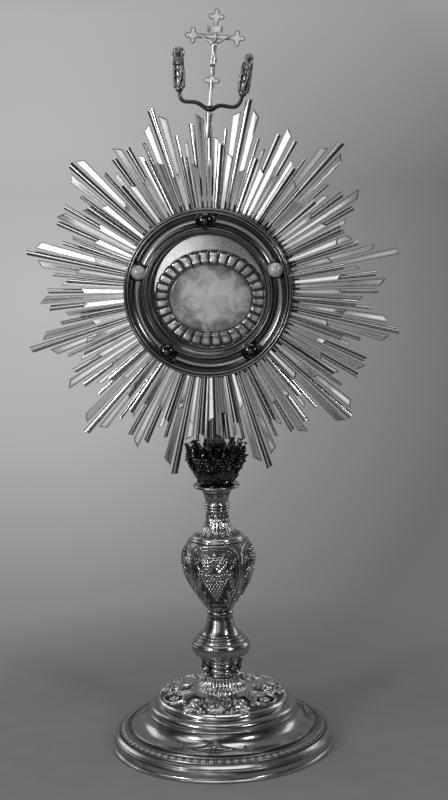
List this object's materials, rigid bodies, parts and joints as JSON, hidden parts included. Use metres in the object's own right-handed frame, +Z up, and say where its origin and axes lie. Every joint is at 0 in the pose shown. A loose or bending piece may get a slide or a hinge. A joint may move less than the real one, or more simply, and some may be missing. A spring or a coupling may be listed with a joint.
{
  "type": "monstrance reliquary",
  "caption": "Altar monstrance on a round stepped foot, with a knopped stem, a rayed glory round a glazed case with a rear door, and a plug-in crucifix finial.",
  "frame": {"origin": "centre of the foot's underside, on the stem's axis", "axes": "+Z up along the stem, -Y towards the viewer of the glazed front, +X to that viewer's right"},
  "size_m": [0.3032, 0.1876, 0.5998],
  "materials": {
    "polished_silver": "polished silver plate",
    "satin_silver": "satin silver plate with dark patina",
    "dark_silver": "oxidised silver",
    "clear_glass": "clear",
    "dark_stone": "polished cabochon",
    "pale_stone": "polished cabochon",
    "enamel": "glossy"
  },
  "bodies": {
    "monstrance": {"base_rim": "polished_silver", "frieze_band": "satin_silver", "foot_skirt": "polished_silver", "foot_step": "polished_silver", "foot_dome": "satin_silver", "tie_nut": "satin_silver", "tie_washer": "satin_silver", "leaf_collar": "dark_silver", "lower_knop": "polished_silver", "stem_bell": "polished_silver", "stem_bead": "polished_silver", "vase_knop": "satin_silver", "neck_spool": "satin_silver", "drip_flange": "polished_silver", "wreath_cup": "dark_silver", "vine_wreath": "dark_silver", "tie_rod": "satin_silver", "head_tang": "satin_silver", "ray_mount_ring": "satin_silver", "ray_sector_01": "polished_silver", "ray_sector_02": "polished_silver", "ray_sector_03": "polished_silver", "ray_sector_04": "polished_silver", "ray_sector_05": "polished_silver", "ray_sector_06": "polished_silver", "ray_sector_07": "polished_silver", "ray_sector_08": "polished_silver", "ray_sector_09": "polished_silver", "ray_sector_10": "polished_silver", "ray_sector_11": "polished_silver", "ray_sector_12": "polished_silver", "front_rays": "polished_silver", "luna_case": "satin_silver", "bezel_ring": "polished_silver", "glass_retainer": "polished_silver", "front_glass": "clear_glass", "stone_1": "dark_stone", "stone_2": "pale_stone", "stone_3": "dark_stone", "stone_4": "dark_stone", "stone_5": "pale_stone", "backing_disc": "polished_silver", "medallion_frame": "polished_silver", "medallion_plaque": "enamel", "relic_capsule": "satin_silver", "spring_ring": "satin_silver", "rear_frame": "satin_silver", "hinge_pin": "satin_silver", "catch_screw": "satin_silver", "finial_socket": "polished_silver"},
    "door": {"rear_door": "satin_silver"},
    "catch": {"door_catch": "polished_silver"},
    "finial": {"crucifix": "polished_silver", "corpus": "polished_silver", "titulus_plate": "polished_silver", "branch_pair": "dark_silver", "figure_left": "dark_silver", "figure_right": "dark_silver"}
  },
  "joints": [
    {"name": "door_hinge", "type": "hinge", "parent": "monstrance", "child": "door", "pos_m": [0.055, 0.018, 0.379], "axis": [0, 0, -1], "range_deg": [0, 110]},
    {"name": "catch_turn", "type": "hinge", "parent": "monstrance", "child": "catch", "pos_m": [-0.055, 0.0189, 0.379], "axis": [0, -1, 0], "range_deg": [0, 90]},
    {"name": "finial_lift", "type": "slide", "parent": "monstrance", "child": "finial", "axis": [0.1045, 0, 0.9945], "range_m": [0, 0.017]}
  ]
}
